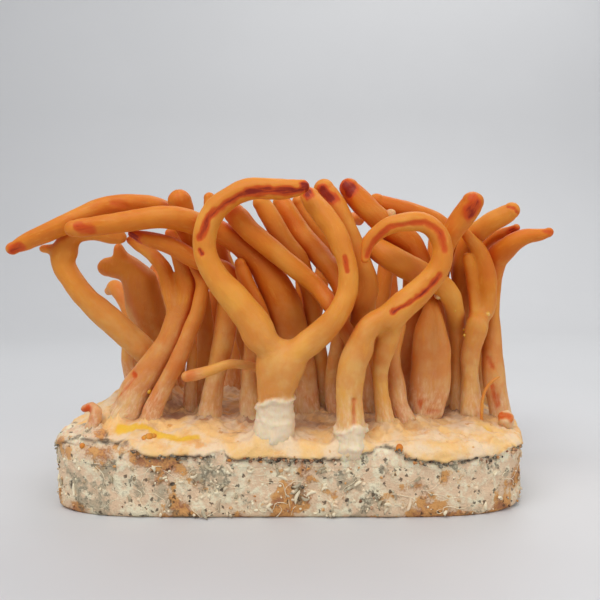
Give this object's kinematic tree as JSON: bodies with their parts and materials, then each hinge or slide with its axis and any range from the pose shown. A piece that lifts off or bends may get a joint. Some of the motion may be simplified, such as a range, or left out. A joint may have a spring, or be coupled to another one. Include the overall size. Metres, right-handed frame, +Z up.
{
  "type": "cordyceps bunch",
  "caption": "Dense bunch of curling orange cordyceps stalks, some forked or looped, growing from a mycelium-covered slab of grain substrate.",
  "frame": {"origin": "on the flat underside of the substrate block, under the middle of the block", "axes": "+X to the right as seen from the front, along the block's length; +Y to the back; +Z up"},
  "size_m": [0.1376, 0.0749, 0.0805],
  "materials": {
    "stalk_flesh": "smooth soft-matt orange flesh, paler at the foot, darker and redder in the shade and at the tips",
    "stalk_shade": "the same flesh in a deeper orange",
    "stalk_scar": "cut fungus flesh, moist, reddish orange",
    "mycelium": "felted cream mycelium with yellow and orange patches",
    "substrate": "rough grain bound by pale mycelium, speckled with grey, amber and rust"
  },
  "bodies": {
    "root": {"arched_back_stalk": "stalk_flesh", "back_level_stalk": "stalk_flesh", "back_stalk_01": "stalk_shade", "back_stalk_02": "stalk_shade", "back_stalk_03": "stalk_shade", "back_stalk_04": "stalk_shade", "back_stalk_05": "stalk_shade", "back_stalk_06": "stalk_shade", "back_stalk_07": "stalk_shade", "back_stalk_08": "stalk_shade", "back_stalk_09": "stalk_shade", "back_stalk_10": "stalk_shade", "back_stalk_11": "stalk_shade", "back_stalk_12": "stalk_shade", "back_stalk_13": "stalk_shade", "back_stalk_14": "stalk_shade", "back_stalk_15": "stalk_shade", "back_stalk_16": "stalk_shade", "back_stalk_17": "stalk_shade", "curled_sprout": "stalk_flesh", "cut_end_stalk": "stalk_flesh", "cut_stub": "stalk_scar", "diagonal_back_stalk": "stalk_flesh", "diagonal_front_stalk": "stalk_flesh", "diagonal_middle_stalk": "stalk_flesh", "fork_stalk_left_arm": "stalk_flesh", "fork_stalk_right_arm": "stalk_flesh", "fork_stalk_trunk": "stalk_flesh", "front_level_stalk": "stalk_flesh", "inner_finger_stalk": "stalk_flesh", "inside_loop_stalk": "stalk_flesh", "leaning_stalk_left_arm": "stalk_flesh", "leaning_stalk_right_arm": "stalk_flesh", "leaning_stalk_trunk": "stalk_flesh", "left_hook_stalk": "stalk_flesh", "left_middle_stalk": "stalk_flesh", "left_slanting_stalk": "stalk_flesh", "little_finger_stalk": "stalk_flesh", "loop_stalk_crown": "stalk_flesh", "loop_stalk_left_leg": "stalk_flesh", "loop_stalk_right_leg": "stalk_flesh", "mycelium_mat": "mycelium", "oval_scar_stalk": "stalk_flesh", "paddle_stalk": "stalk_flesh", "red_tipped_stalk": "stalk_flesh", "right_blunt_stalk": "stalk_flesh", "right_middle_stalk": "stalk_flesh", "right_outer_stalk": "stalk_flesh", "right_slender_stalk": "stalk_flesh", "right_upper_stalk": "stalk_flesh", "short_left_finger": "stalk_flesh", "slim_middle_stalk": "stalk_flesh", "stout_back_stalk": "stalk_flesh", "substrate_block": "substrate", "twin_stalk_left_finger": "stalk_flesh", "twin_stalk_right_arm": "stalk_flesh", "twin_stalk_trunk": "stalk_flesh", "upright_knob_stalk": "stalk_flesh"}
  },
  "joints": []
}
